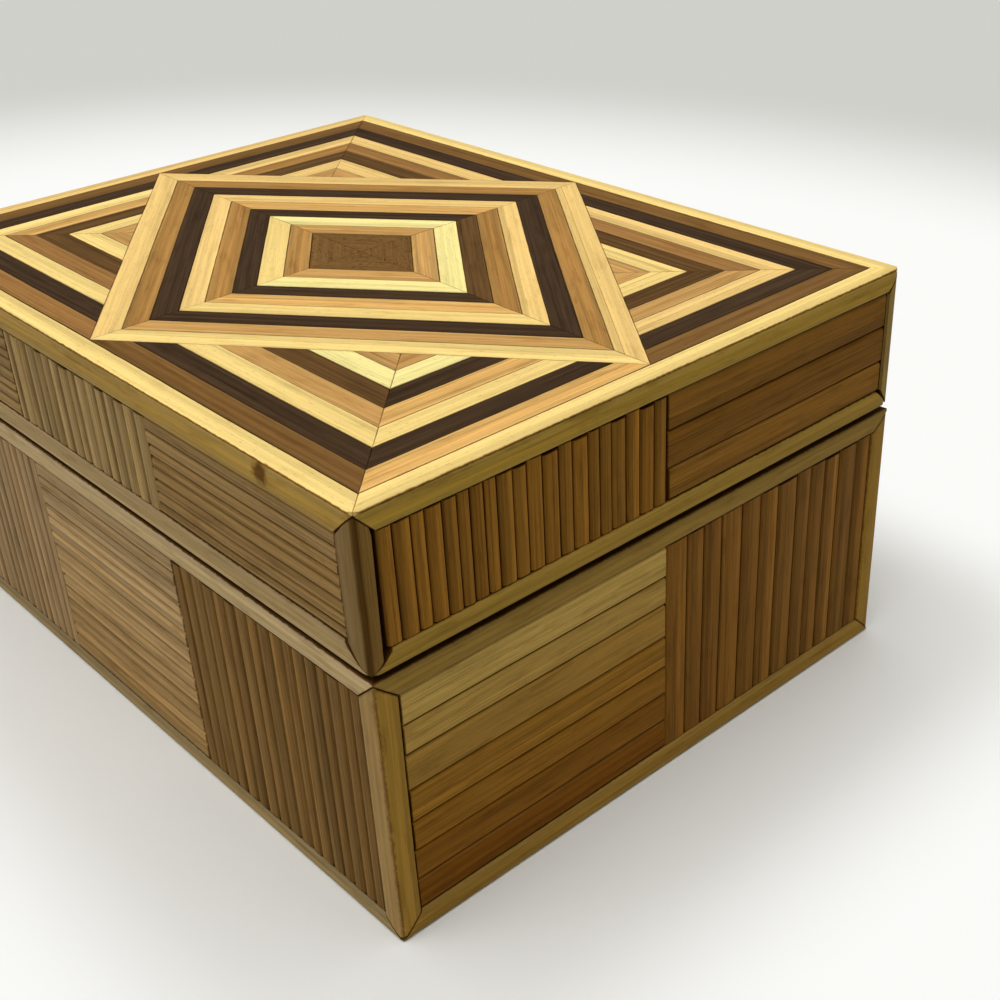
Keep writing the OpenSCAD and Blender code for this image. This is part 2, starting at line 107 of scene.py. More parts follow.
class Finish:
    """A material while it is put together."""

    def __init__(self, name):
        self.material = bpy.data.materials.new(name)
        self.material.use_nodes = True
        self.tree = self.material.node_tree
        self.tree.nodes.clear()

    def add(self, kind, settings, inputs):
        """One node: its settings first, then the values or links of its sockets. It returns the node's
        output, or where it has more than one, all of them by name."""
        node = self.tree.nodes.new(kind)
        for name, value in settings.items():
            setattr(node, name, value)
        for key, value in inputs.items():
            named = [s for s in node.inputs if s.enabled and s.name == key]
            socket = named[0] if named else node.inputs[key]
            if isinstance(value, Value):
                self.tree.links.new(value.socket, socket)
            else:
                socket.default_value = value
        outputs = {socket.name: Value(self, socket) for socket in node.outputs if socket.enabled}
        return outputs.popitem()[1] if len(outputs) == 1 else outputs

    def object_place(self):
        return self.add("ShaderNodeTexCoord", {}, {})["Object"]

    def attribute(self, name):
        """A piece's own attribute, as a Color, a Vector, a Fac and an Alpha."""
        return self.add("ShaderNodeAttribute", {"attribute_name": name}, {})

    def parts(self, vector):
        """The three numbers of a vector or a colour."""
        return list(self.add("ShaderNodeSeparateXYZ", {}, {"Vector": vector}).values())

    def noise(self, place, scale, detail=2.0, roughness=0.5, twist=0.0):
        """Cloudy noise. scale is how many clouds a metre holds along X, Y and Z."""
        place = self.add("ShaderNodeVectorMath", {"operation": "MULTIPLY"}, {0: place, 1: scale})
        return self.add("ShaderNodeTexNoise", {}, {
            "Vector": place, "Scale": 1.0, "Detail": detail, "Roughness": roughness, "Distortion": twist,
        })["Fac"]

    def step(self, value, low, high):
        """0 at low, 1 at high, and smooth between."""
        return self.add(
            "ShaderNodeMapRange", {"interpolation_type": "SMOOTHSTEP"},
            {"Value": value, "From Min": low, "From Max": high, "To Min": 0.0, "To Max": 1.0},
        )

    def scaled(self, colour, share):
        """A colour made lighter or darker by a value."""
        return self.add("ShaderNodeVectorMath", {"operation": "SCALE"}, {0: colour, "Scale": share})

    def least(self, first, *others):
        for other in others:
            first = self.add("ShaderNodeMath", {"operation": "MINIMUM"}, {0: first, 1: other})
        return first

    def most(self, first, second):
        return self.add("ShaderNodeMath", {"operation": "MAXIMUM"}, {0: first, 1: second})

    def mix(self, share, low, high):
        return self.add(
            "ShaderNodeMix", {"data_type": "RGBA"}, {"Factor": share, "A": low, "B": high}
        )

    def tinted(self, colour, tint, share=1.0):
        return self.add(
            "ShaderNodeMix", {"data_type": "RGBA", "blend_type": "MULTIPLY"},
            {"Factor": share, "A": colour, "B": (*tint, 1.0)},
        )

    def bump(self, height, depth):
        """Relief of a height in 0 to 1, as deep as depth in metres."""
        return self.add("ShaderNodeBump", {}, {"Strength": 1.0, "Distance": depth, "Height": height})

    def surface(self, inputs):
        shader = self.add("ShaderNodeBsdfPrincipled", {}, inputs)
        self.add("ShaderNodeOutputMaterial", {}, {"Surface": shader})
        return self.material


def paint(red, green, blue):
    """A colour given as it looks on a screen, 0 to 1, as a shader colour."""
    linear = [c / 12.92 if c <= 0.04045 else ((c + 0.055) / 1.055) ** 2.4 for c in (red, green, blue)]
    return (*linear, 1.0)


mm = 0.001
half_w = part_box("base_foot_edging")[1].x
half_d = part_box("base_foot_edging")[1].y
table_r = 1.1
sweep_r = 0.7
paper_top = 2.2
sweep_steps = 12
turn_steps = 96
white_paper = paint(0.99, 0.99, 0.98)
grey_paper = paint(0.82, 0.82, 0.80)
paper_shade = 0.88
white_till = 0.33
grey_from = 0.52
long_share = 0.75
shadow_from = 22 * mm
shadow_till = 66 * mm
bleached = 0.9
lamp_place = Vector((0.0, -0.62, 1.69))
lamp_size = 1.2
lamp_watts = 9.5
sky_strength = 1.2

profile = [(0.0, 0.0), (table_r, 0.0)]
for i in range(1, sweep_steps + 1):
    turn = math.radians(90) * i / sweep_steps
    profile.append((table_r + sweep_r * math.sin(turn), sweep_r - sweep_r * math.cos(turn)))
profile.append((table_r + sweep_r, paper_top))
bm = bmesh.new()
points = [bm.verts.new((r, 0.0, z)) for r, z in profile]
lines = [bm.edges.new(pair) for pair in zip(points, points[1:])]
bmesh.ops.spin(
    bm, geom=points + lines, cent=(0, 0, 0), axis=(0, 0, 1),
    angle=math.radians(360), steps=turn_steps, use_merge=True,
)
bmesh.ops.remove_doubles(bm, verts=bm.verts, dist=0.01 * mm)
bmesh.ops.recalc_face_normals(bm, faces=bm.faces)
bmesh.ops.reverse_faces(bm, faces=bm.faces)
for face in bm.faces:
    face.smooth = True
paper_mesh = bpy.data.meshes.new("studio_paper")
bm.to_mesh(paper_mesh)
bm.free()
paper = bpy.data.objects.new("studio_paper", paper_mesh)
bpy.context.scene.collection.objects.link(paper)
finish = Finish("studio_paper")
x, y, z = finish.parts(finish.object_place())
clear_x = finish.most(abs(x) - half_w, 0.0)
clear_y = finish.most(abs(y) - half_d, 0.0)
clear = (clear_x * clear_x + clear_y * clear_y) ** 0.5
x = x * long_share
away = (x * x + y * y) ** 0.5
colour = finish.mix(finish.step(away, white_till, grey_from), white_paper, grey_paper)
rays = finish.add("ShaderNodeLightPath", {}, {})
seen = rays["Is Camera Ray"] + rays["Is Glossy Ray"] + rays["Is Transmission Ray"]
white = finish.step(clear, shadow_from, shadow_till) * bleached * seen
paper_mesh.materials.append(finish.surface({
    "Base Color": finish.scaled(colour, (1 - white) * paper_shade),
    "Emission Color": finish.scaled(colour, white),
    "Emission Strength": 1.0,
    "Roughness": 0.9,
    "Specular IOR Level": 0.1,
}))

light = bpy.data.lights.new("overhead_lamp", "AREA")
light.size = lamp_size
light.energy = lamp_watts
lamp = bpy.data.objects.new("overhead_lamp", light)
lamp.location = lamp_place
lamp.rotation_euler = (-lamp_place).to_track_quat("-Z", "Y").to_euler()
bpy.context.scene.collection.objects.link(lamp)
sky = bpy.data.worlds.new("sky")
sky.use_nodes = True
sky.node_tree.nodes["Background"].inputs["Color"].default_value = (1.0, 1.0, 1.0, 1.0)
sky.node_tree.nodes["Background"].inputs["Strength"].default_value = sky_strength
bpy.context.scene.world = sky


# Carcass boards
# The carcass: a bottom board and four side boards, and over them the lid's top board and sides.
# Plain pale softwood, glued at the corners, dark with glue where the strips lie on it.
board_pale = paint(0.80, 0.65, 0.45)
board_dark = paint(0.60, 0.43, 0.26)
board_stain = (0.74, 0.66, 0.56)
board_pores = (0.52, 0.40, 0.28)
glue_brown = paint(0.13, 0.08, 0.04)
grain_along = 18.0
grain_across = 420.0
pores_finer = 6.0
stain_scale = (22.0, 22.0, 22.0)
glue_creep = 0.5 * mm
board_relief = 0.12 * mm
board_ease = 0.25 * mm
smooth_turn = math.radians(30)
flat_turn = math.radians(1)
touch = 0.001 * mm
skin_t = half_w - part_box("base_right_wall")[1].x
board_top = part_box("lid_top_board")[1].z


def merged(node):
    """A node's loose triangles joined up, with its flat faces whole."""
    bm = bmesh.new()
    bm.from_mesh(nodes[node].data)
    bmesh.ops.remove_doubles(bm, verts=bm.verts, dist=touch)
    bmesh.ops.dissolve_limit(bm, angle_limit=flat_turn, verts=bm.verts, edges=bm.edges)
    return bm


def settle(bm, name, body, node, material, smooth=smooth_turn):
    """Makes a finished piece of a mesh, which stands for its node."""
    for face in bm.faces:
        face.smooth = True
    mesh = bpy.data.meshes.new(name)
    bm.to_mesh(mesh)
    bm.free()
    mesh.set_sharp_from_angle(angle=smooth)
    mesh.materials.append(material)
    piece = bpy.data.objects.new(name, mesh)
    bpy.context.scene.collection.objects.link(piece)
    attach(piece, body)
    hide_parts(node)
    return piece


def bevelled(bm, edges, size, segments=2):
    bmesh.ops.bevel(
        bm, geom=edges, offset=size, segments=segments, affect="EDGES",
        profile=0.5, clamp_overlap=True, material=-1,
    )


def eased(node, name, body, material, size):
    """A copy of a node with its sharp edges eased."""
    bm = merged(node)
    bevelled(bm, [e for e in bm.edges if e.is_manifold and e.calc_face_angle() > smooth_turn], size)
    return settle(bm, name, body, node, material)


def board_finish(name, scale):
    """Softwood. scale is how fine its grain is along X, Y and Z."""
    finish = Finish(name)
    place = finish.object_place()
    ring = finish.noise(place, scale, 3.0, 0.6)
    pores = finish.noise(place, [fine * pores_finer for fine in scale], 2.0, 0.6)
    stain = finish.noise(place, stain_scale)
    x, y, z = finish.parts(place)
    colour = finish.mix(finish.step(ring, 0.34, 0.68), board_pale, board_dark)
    colour = finish.tinted(colour, board_stain, finish.step(stain, 0.45, 0.75))
    colour = finish.tinted(colour, board_pores, finish.step(pores, 0.6, 0.75))
    under_strips = finish.least(half_w - abs(x), half_d - abs(y), board_top + skin_t - z)
    edge = under_strips + (stain - 0.5) * glue_creep - skin_t
    glued = finish.step(edge, 0.35 * mm, 0.15 * mm)
    return finish.surface({
        "Base Color": finish.mix(glued, colour, glue_brown),
        "Roughness": 0.5 + ring * 0.2,
        "Specular IOR Level": 0.3,
        "Normal": finish.bump(ring * 0.5 + pores * 0.5, board_relief),
    })


boards_along = board_finish("board_along", (grain_along, grain_across, grain_across))
boards_across = board_finish("board_across", (grain_across, grain_along, grain_across))
for body in ("base", "lid"):
    for side in ("front", "back", "left", "right"):
        wood = boards_along if side in ("front", "back") else boards_across
        eased(f"{body}_{side}_wall", f"{body}_{side}_board", body, wood, board_ease)
eased("base_floor", "base_bottom_board", "base", boards_along, board_ease)
eased("lid_top_board", "lid_ceiling_board", "lid", boards_along, board_ease)


# Felt
# Dark red felt: one strip glued round the inner walls of the base and one round the lid's, and a
# card pad wrapped in the same felt on the bottom of each.
felt_red = paint(0.36, 0.07, 0.07)
felt_worn = paint(0.50, 0.15, 0.13)
felt_hollow = (0.62, 0.55, 0.55)
felt_faded = (1.25, 1.3, 1.3)
fuzz_scale = (2600.0, 2600.0, 2600.0)
tuft_scale = (620.0, 620.0, 620.0)
patch_scale = (38.0, 38.0, 38.0)
felt_relief = 0.2 * mm
felt_smooth = math.radians(60)
felt_t = 1.0 * mm
felt_turn_r = 1.4 * mm
felt_edge_r = 0.3 * mm
felt_press = 0.3 * mm
felt_press_scale = 90
felt_step = 5.0 * mm
soft_steps = 4
pad_edge_r = 1.1 * mm
pad_swell = 0.35 * mm
pad_press = 0.12 * mm
pad_press_scale = 70
pad_rise = 14.0 * mm
pad_face_zone = 0.05 * mm

finish = Finish("felt")
place = finish.object_place()
fuzz = finish.noise(place, fuzz_scale, 4.0, 0.7)
tufts = finish.noise(place, tuft_scale, 3.0, 0.6)
patch = finish.noise(place, patch_scale, 3.0, 0.6)
colour = finish.mix(finish.step(fuzz, 0.3, 0.75), felt_red, felt_worn)
colour = finish.tinted(colour, felt_hollow, finish.step(tufts, 0.45, 0.7) * 0.7)
colour = finish.tinted(colour, felt_faded, finish.step(patch, 0.5, 0.75) * 0.6)
felt = finish.surface({
    "Base Color": colour,
    "Roughness": 0.92 - fuzz * 0.1,
    "Specular IOR Level": 0.15,
    "Sheen Weight": 0.35,
    "Sheen Roughness": 0.5,
    "Sheen Tint": felt_worn,
    "Normal": finish.bump(fuzz * 0.6 + tufts * 0.4, felt_relief),
})


def sliced(bm, place, way):
    """Cuts a mesh through by the plane at a place that looks one way."""
    geometry = list(bm.verts) + list(bm.edges) + list(bm.faces)
    bmesh.ops.bisect_plane(bm, geom=geometry, dist=touch, plane_co=place, plane_no=way)


def gridded(bm, low, high, step):
    """Cuts a mesh by level and upright planes about step apart."""
    for axis in range(3):
        way = Vector([axis == i for i in range(3)])
        pieces = round((high[axis] - low[axis]) / step)
        for i in range(1, pieces):
            sliced(bm, low + (high - low) * (i / pieces), way)


def wall_felt(name, body, node):
    """A strip of felt round the inner walls, butted and glued, soft at its corners and edges."""
    low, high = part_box(node)
    bm = merged(node)

    def inside(vert):
        """Whether a point is on the felt's free side, away from the boards."""
        return min(high.x - abs(vert.co.x), high.y - abs(vert.co.y)) > 0.4 * felt_t

    def inner_edges():
        sharp = [e for e in bm.edges if e.calc_face_angle(0) > smooth_turn]
        return [e for e in sharp if all(inside(v) for v in e.verts)]

    def rise(edge):
        return abs(edge.verts[0].co.z - edge.verts[1].co.z)

    bevelled(bm, [e for e in inner_edges() if rise(e) > felt_t], felt_turn_r, soft_steps)
    bevelled(bm, [e for e in inner_edges() if rise(e) < touch], felt_edge_r)
    gridded(bm, low, high, felt_step)
    bm.normal_update()
    for vert in bm.verts:
        if inside(vert):
            press = 0.5 + 0.5 * noise.noise(vert.co * felt_press_scale)
            vert.co -= vert.normal * (felt_press * press)
    piece = settle(bm, name, body, node, felt, felt_smooth)


def felt_pad(name, body, node, upward):
    """A pad of card wrapped in felt, flat where it is glued and a little swollen on its face."""
    low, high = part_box(node)
    face_z = high.z if upward else low.z
    bm = merged(node)
    rim = [e for e in bm.edges if any(abs(v.co.z - face_z) < touch for v in e.verts)]
    bevelled(bm, rim, pad_edge_r, soft_steps)
    gridded(bm, low, high, felt_step)
    for vert in bm.verts:
        near = min(high.x - abs(vert.co.x), high.y - abs(vert.co.y))
        if abs(vert.co.z - face_z) < pad_face_zone:
            swell = min(1, max(0, near) / pad_rise)
            press = 0.5 + noise.noise(vert.co * pad_press_scale)
            fall = pad_swell * (1 - swell) ** 2 + pad_press * press
            vert.co.z += -fall if upward else fall
    piece = settle(bm, name, body, node, felt, felt_smooth)


wall_felt("base_wall_felt", "base", "base_lining")
wall_felt("lid_wall_felt", "lid", "lid_lining")
felt_pad("base_bottom_pad", "base", "base_floor_pad", True)
felt_pad("lid_ceiling_pad", "lid", "lid_pad", False)


# Base edging
# Split bamboo with its skin side out, planed to a low crown: a foot strip and a rim strip on each
# side, mitred over two uprights at each corner, all glued to the edges of the boards.
base_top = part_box("base_rim_edging")[1].z
lid_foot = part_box("lid_rim_edging")[0].z
lid_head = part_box("top_border")[1].z
crisp_turn = math.radians(18)
stray_most = 0.2 * mm
stray_most_scale = 26
stray_small = 0.03 * mm
stray_small_scale = 170
stray_margin = 0.6 * mm
stray_rise = 4 * mm
stray_apart = (0, 40, 80)
gap_middle = (base_top + lid_foot) / 2
cos_square = 0.99
cos_parallel = 0.95
cos_facing = 0.5
cos_slant = 0.3
cos_hint = 0.1
lean_least = 0.3
edge_reach = 0.7
wave_scale = 220
wave_mean = 0.5
wave_swing = 0.7
strips_apart = 7
sides_apart = 3
face_zone = 1.1 * mm
end_zone = 0.6 * mm
arris_turn = math.radians(20)
split_from = 0.28
split_till = 0.72
grain_spread = 9
contrast_least = 0.3
no_end_mm = 99


def stray(co, out):
    """How far hand work strays from the drawing: as much for neighbours, and none at the outline."""
    if out.z > cos_facing:
        room = min(half_w - abs(co.x), half_d - abs(co.y))
    else:
        along = half_w - abs(co.x) if abs(out.y) > cos_facing else half_d - abs(co.y)
        foot, head = (0, base_top) if co.z < gap_middle else (lid_foot, lid_head)
        room = min(along, co.z - foot, head - co.z)
    share = min(max(room - stray_margin, 0) / stray_rise, 1)
    shift = Vector()
    for most, fine in ((stray_most, stray_most_scale), (stray_small, stray_small_scale)):
        shift += Vector([noise.noise(co * fine + Vector((move, 0, 0))) for move in stray_apart]) * most
    shift -= out * shift.dot(out)
    return shift * share


class Strip:
    """One strip of wood: run is its grain, out its face, and across lies between them."""

    def __init__(self, solid, node, number, flat):
        self.solid = solid
        self.chance = random.Random(f"{node} {number}")
        self.centre = sum((v.co for v in solid.verts), Vector()) / len(solid.verts)
        if flat:
            self.out = Vector((0, 0, 1))
        elif abs(self.centre.x) / half_w > abs(self.centre.y) / half_d:
            self.out = Vector((math.copysign(1, self.centre.x), 0, 0))
        else:
            self.out = Vector((0, math.copysign(1, self.centre.y), 0))
        self.run = self.find_run()
        self.across = self.out.cross(self.run)
        self.grain_start = self.chance.uniform(0, grain_spread)
        self.grain_side = self.chance.uniform(0, grain_spread)
        self.tone = self.chance.uniform(-1, 1)
        self.warmth = self.chance.uniform(-1, 1)
        self.lean = self.chance.choice((-1, 1)) * self.chance.uniform(lean_least, 1)
        self.depth = self.chance.random()
        self.short = (self.chance.random() ** 2, self.chance.random() ** 2)

    def find_run(self):
        """The way the grain runs, which is that of the longest edge of the face."""
        faces = [f for f in self.solid.faces if f.normal.dot(self.out) > cos_square]
        face = max(faces, key=lambda f: f.calc_area())
        longest = max(face.edges, key=lambda e: e.calc_length())
        run = (longest.verts[1].co - longest.verts[0].co).normalized()
        return -run if sum(run) < 0 else run

    def on_end(self):
        """Whether the strip is on the box's left or right end."""
        return abs(self.out.x) > cos_facing

    def place(self, co):
        """Where a point lies along the strip, across it, and outwards."""
        return co.dot(self.run), co.dot(self.across), co.dot(self.out)

    def regrow(self, least, most, trim=0):
        """Moves each side in or out a little, as cutting by hand leaves it. trim shortens both ends."""
        chosen = {}
        moves = {}
        for vert in self.solid.verts:
            sides = []
            for face in vert.link_faces:
                level = face.normal - self.out * face.normal.dot(self.out)
                if level.length < cos_hint:
                    continue
                level.normalize()
                key = tuple(round(c, 1) for c in level)
                amount = chosen.setdefault(key, self.chance.uniform(least, most))
                if abs(level.dot(self.run)) > cos_slant:
                    amount -= trim
                pair = (level.dot(self.run), level.dot(self.across), amount)
                if all(abs(pair[0] * p[0] + pair[1] * p[1]) < cos_parallel for p in sides):
                    sides.append(pair)
            if len(sides) == 1:
                a, b, amount = sides[0]
                moves[vert] = (self.run * a + self.across * b) * amount
            elif len(sides) > 1:
                (a, b, first), (c, d, second) = sides[:2]
                size = a * d - b * c
                run = (first * d - b * second) / size
                across = (a * second - c * first) / size
                moves[vert] = self.run * run + self.across * across
        for vert, move in moves.items():
            vert.co += move

    def measure(self):
        """Notes where the strip starts and ends, where its two sides lie, and how far out it reaches."""
        places = [self.place(v.co) for v in self.solid.verts]
        self.start = min(p[0] for p in places)
        self.finish = max(p[0] for p in places)
        self.low = min(p[1] for p in places)
        self.high = max(p[1] for p in places)
        self.face_out = max(p[2] for p in places)
        self.ends = [self.end_planes(way) for way in (-1, 1)]

    def end_planes(self, way):
        """The face of one end, as a point and its normal, in a list."""
        faces = [
            f for f in self.solid.faces
            if f.normal.dot(self.run) * way > cos_hint and abs(f.normal.dot(self.out)) < cos_slant
        ]
        faces.sort(key=lambda f: f.calc_center_median().dot(self.run) * way)
        return [(f.verts[0].co.copy(), f.normal.copy()) for f in faces[-1:]]

    def soften(self, size):
        """Bevels the edges round the face."""
        edges = []
        for edge in self.solid.edges:
            outwards = [f.normal.dot(self.out) for f in edge.link_faces]
            turned = edge.calc_face_angle(0) > arris_turn
            if min(outwards) > -cos_slant and max(outwards) > cos_slant and turned:
                edges.append(edge)
        bevelled(self.solid, edges, size)

    def divide(self, step, rows):
        """Cuts the mesh into short lengths and, for a crown, into rows."""
        for i in range(1, rows):
            side = self.low + (self.high - self.low) * i / rows
            sliced(self.solid, self.across * side, self.across)
        self.shortened(step)

    def shortened(self, step):
        """Cuts the mesh into short lengths, so that it can follow the wave of the work."""
        pieces = round((self.finish - self.start) / step)
        for i in range(1, pieces):
            along = self.start + (self.finish - self.start) * i / pieces
            sliced(self.solid, self.run * along, self.run)

    def laid(self, co, look):
        """Where a point comes to lie once the strip is shaved, laid and rubbed down."""
        along, side, deep = self.place(co)
        reach = (2 * side - self.low - self.high) / (self.high - self.low)
        place = co + stray(co, self.out)
        if abs(reach) > edge_reach:
            side_apart = math.copysign(sides_apart, reach)
            wave = noise.noise(Vector((along * wave_scale, self.grain_start * strips_apart, side_apart)))
            shave = look.get("ragged", 0) * (wave_mean + wave_swing * wave)
            place -= self.across * math.copysign(max(0, shave), reach)
        if deep > self.face_out - face_zone:
            lean = look.get("lean", 0) * (1 + self.lean * reach) / 2
            place -= self.out * (look.get("crown", 0) * reach * reach + lean)
            place -= self.out * (look.get("sink", 0) * self.depth)
        if along < self.start + end_zone:
            place += self.run * (look.get("short", (0, 0))[0] * self.short[0])
        if along > self.finish - end_zone:
            place -= self.run * (look.get("short", (0, 0))[1] * self.short[1])
        return place


def solids_of(node):
    """Each solid of a node as a mesh of its own, in the node's order."""
    whole = merged(node)
    found = []
    for face in whole.faces:
        face.tag = False
    for first in whole.faces:
        if first.tag:
            continue
        first.tag = True
        part = [first]
        for face in part:
            for edge in face.edges:
                for other in edge.link_faces:
                    if not other.tag:
                        other.tag = True
                        part.append(other)
        solid = bmesh.new()
        copied = {}
        for face in part:
            for vert in face.verts:
                if vert not in copied:
                    copied[vert] = solid.verts.new(vert.co)
            solid.faces.new([copied[vert] for vert in face.verts])
        solid.normal_update()
        found.append(solid)
    whole.free()
    return found


def strips_piece(node, body, material, stain, look, kind=Strip):
    """The strips that stand for a node. stain gives each its colour; look is how all are cut and laid."""
    bm = bmesh.new()
    grain = bm.verts.layers.float_vector.new("grain")
    colour = bm.verts.layers.float_color.new("stain")
    rim = bm.verts.layers.float_color.new("rim")
    lay = bm.verts.layers.float_color.new("lay")
    for number, solid in enumerate(solids_of(node)):
        strip = kind(solid, node, number, look.get("flat", False))
        shade = stain(strip)
        strip.regrow(*look["grow"])
        strip.measure()
        strip.soften(look["soften"])
        strip.divide(look["step"], look.get("rows", 1))
        split = strip.chance.uniform(split_from, split_till) * (strip.high - strip.low) / mm
        contrast = strip.chance.uniform(-1, 1)
        # Where the look names a lit side, each strip's contrast points towards it, so that its two tones,
        # its painted shading and its painted highlight are lighter on the side of the lamps.
        if "lit" in look:
            strength = contrast_least + (1 - contrast_least) * abs(contrast)
            contrast = math.copysign(strength, strip.across.dot(look["lit"]))
        line = strip.chance.random()
        copied = {}
        for vert in strip.solid.verts:
            along, side, deep = strip.place(vert.co)
            new = bm.verts.new(strip.laid(vert.co, look))
            copied[vert] = new
            new[grain] = (along + strip.grain_start, side + strip.grain_side, deep - strip.face_out)
            new[colour] = (*shade, 1.0)
            ends = [
                min([(point - vert.co).dot(normal) / mm for point, normal in planes], default=no_end_mm)
                for planes in strip.ends
            ]
            new[rim] = ((side - strip.low) / mm, (strip.high - side) / mm, *ends)
            new[lay] = (split, contrast, line, strip.depth)
        for face in strip.solid.faces:
            bm.faces.new([copied[vert] for vert in face.verts])
        strip.solid.free()
    return settle(bm, node + "_strips", body, node, material, crisp_turn)


fibre_scale = (45.0, 2600.0, 2600.0)
streak_scale = (12.0, 850.0, 850.0)
cloud_scale = (80.0, 420.0, 420.0)
fleck_scale = (480.0, 4800.0, 4800.0)
ragged_scale = (800.0, 800.0, 800.0)
scratch_scale = (130.0, 5200.0, 5200.0)
curl_scale = (480.0, 900.0, 0.0)
fibre_tint = (0.68, 0.60, 0.50)
blotch_tint = (0.58, 0.50, 0.40)
fleck_tint = (0.40, 0.30, 0.20)
crack_tint = (0.42, 0.31, 0.20)
edge_highlight = paint(0.62, 0.48, 0.27)
scratch_grey = paint(0.45, 0.38, 0.30)
figure_tint = (0.30, 0.24, 0.18)
end_flank_shade = (0.80, 0.72, 0.48)
arris_tint = (0.28, 0.19, 0.05)
outline_tint = (0.36, 0.21, 0.10)
knot_tint = (0.30, 0.21, 0.08)
seam_tint = (0.24, 0.15, 0.07)
green_share = 0.3
mm_in_m = 1000


def strip_finish(
    name, fibre=1.0, streak=0.8, blotch=0.4, fleck=0.3, seam=0.8, seam_mm=0.14, wall_mm=0.25,
    wall=(0.10, 0.06, 0.05), two_tone=0.2, line=0.5, painted_side_shading=0.0, edge_light=0.0, glow=None, scratch=0.0,
    figure=0.0, arris=None, outline=0.0, knot=None, gloss=0.02, rough=0.48, relief=0.03 * mm,
):
    """Varnished strips of wood. Most numbers say how strong that feature is. Those named mm are widths,
    wall and glow are tints, arris is how far a post's arris lies from its side, and knot is a place.
    The wall tint darkens the strips' sides below their face: painted shade in the gaps between them.
    The side shading makes each strip lighter towards one side, and edge_light lays a pale band along
    one edge: painted shading and a painted highlight. Past the arris, a post's end flank is darker:
    painted shade."""
    finish = Finish(name)
    grain = finish.attribute("grain")["Vector"]
    colour = finish.attribute("stain")["Color"]
    rim = finish.attribute("rim")
    low, high, start = finish.parts(rim["Vector"])
    end = rim["Alpha"]
    lay = finish.attribute("lay")
    split, contrast, lined = finish.parts(lay["Vector"])
    depth = lay["Alpha"]
    fine = finish.noise(grain, fibre_scale, 3.0, 0.65)
    broad = finish.noise(grain, streak_scale, 2.0, 0.55)
    cloud = finish.noise(grain, cloud_scale, 3.0, 0.55)
    specks = finish.noise(grain, fleck_scale, 1.0, 0.5)
    ragged = finish.noise(grain, ragged_scale, 2.0, 0.6)
    sides = finish.least(low, high)
    slope = finish.step(low - high, -2.6, 2.6) - 0.5
    colour = finish.scaled(colour, 1 + (fine - 0.5) * fibre + (broad - 0.5) * streak)
    colour = finish.tinted(colour, fibre_tint, finish.step(fine, 0.6, 0.72) * (0.5 * fibre))
    colour = finish.tinted(colour, blotch_tint, finish.step(cloud, 0.5, 0.74) * blotch)
    colour = finish.tinted(colour, fleck_tint, finish.step(specks, 0.64, 0.74) * fleck)
    beyond = finish.step(low - split, -0.12, 0.12) - 0.5
    # The side shading makes the strip lighter towards one side: painted shading, on the side of the lamps
    # where the strip has one.
    colour = finish.scaled(colour, 1 + beyond * contrast * two_tone + slope * contrast * painted_side_shading)
    crack = finish.step(lined + (cloud - 0.5) * 0.8, 0.5, 0.7) * finish.step(abs(low - split), 0.12, 0.02)
    colour = finish.tinted(colour, crack_tint, crack * line)
    if glow:
        inner = finish.step(sides + (broad - 0.5) * 1.5, 0.3, 2.4)
        colour = finish.tinted(colour, glow, inner)
    # A pale band along one edge, on the side of the lamps where the strip has one: a painted highlight.
    if edge_light:
        band = finish.step(sides, 0.1, 0.2) * finish.step(sides + (broad - 0.5) * 0.3, 0.6, 0.4)
        highlight_band = band * finish.step(slope * contrast, 0.1, 0.25) * edge_light
        colour = finish.mix(highlight_band, colour, edge_highlight)
    if scratch:
        hair = finish.noise(grain, scratch_scale, 2.0, 0.6)
        colour = finish.mix(finish.step(hair, 0.64, 0.74) * scratch, colour, scratch_grey)
    if figure:
        curl = finish.noise(grain, curl_scale, 3.0, 0.5, 1.8)
        colour = finish.tinted(colour, figure_tint, finish.step(curl, 0.5, 0.66) * figure)
    if arris:
        turn = abs(low - arris) + (broad - 0.5) * 0.8 + (cloud - 0.5) * 1.2
        # Past the arris the post's end flank is made darker and yellower: painted shade, like that of the
        # box's ends. A darker stripe runs along the arris itself.
        colour = finish.tinted(colour, end_flank_shade, finish.step(low, arris - 0.4, arris + 0.8))
        colour = finish.tinted(colour, arris_tint, finish.step(turn, 1.5, 0.3) * 0.9)
    if outline:
        x, y, z = finish.parts(finish.object_place())
        room = finish.least(half_w - abs(x), half_d - abs(y)) * mm_in_m + (ragged - 0.5) * 0.3
        colour = finish.tinted(colour, outline_tint, finish.step(room, 0.56, 0.36) * outline)
    if knot:
        place = finish.object_place()
        away = finish.add("ShaderNodeVectorMath", {"operation": "DISTANCE"}, {0: place, 1: knot})
        away = away * mm_in_m + (cloud - 0.5) * 4 + (ragged - 0.5) * 2
        colour = finish.tinted(colour, knot_tint, finish.step(away, 3.3, 1.3))
    near = finish.least(sides, start, end) + (ragged - 0.5) * (seam_mm * 1.3)
    dark = finish.step(near, seam_mm, 0.02) * (0.35 + depth * 0.65) * seam
    colour = finish.tinted(colour, seam_tint, dark)
    # The strips' sides, below their face, take the wall tint: painted shade in the gaps between strips.
    painted_gap_shade = finish.step(finish.parts(grain)[2] * mm_in_m, -wall_mm, -wall_mm - 0.25)
    colour = finish.tinted(colour, wall, painted_gap_shade)
    return finish.surface({
        "Base Color": colour,
        "Roughness": rough + (fine - 0.5) * 0.25,
        "Specular IOR Level": gloss,
        "Normal": finish.bump(fine * 0.8 + broad * 0.2, relief),
    })


def varied(base, strip, spread, warm=0.5):
    """A colour made lighter or darker, and warmer or cooler, from strip to strip."""
    lift = 1 + spread * strip.tone
    cool = warm * spread * strip.warmth
    return (base[0] * lift, base[1] * lift * (1 - green_share * cool), base[2] * lift * (1 - cool))


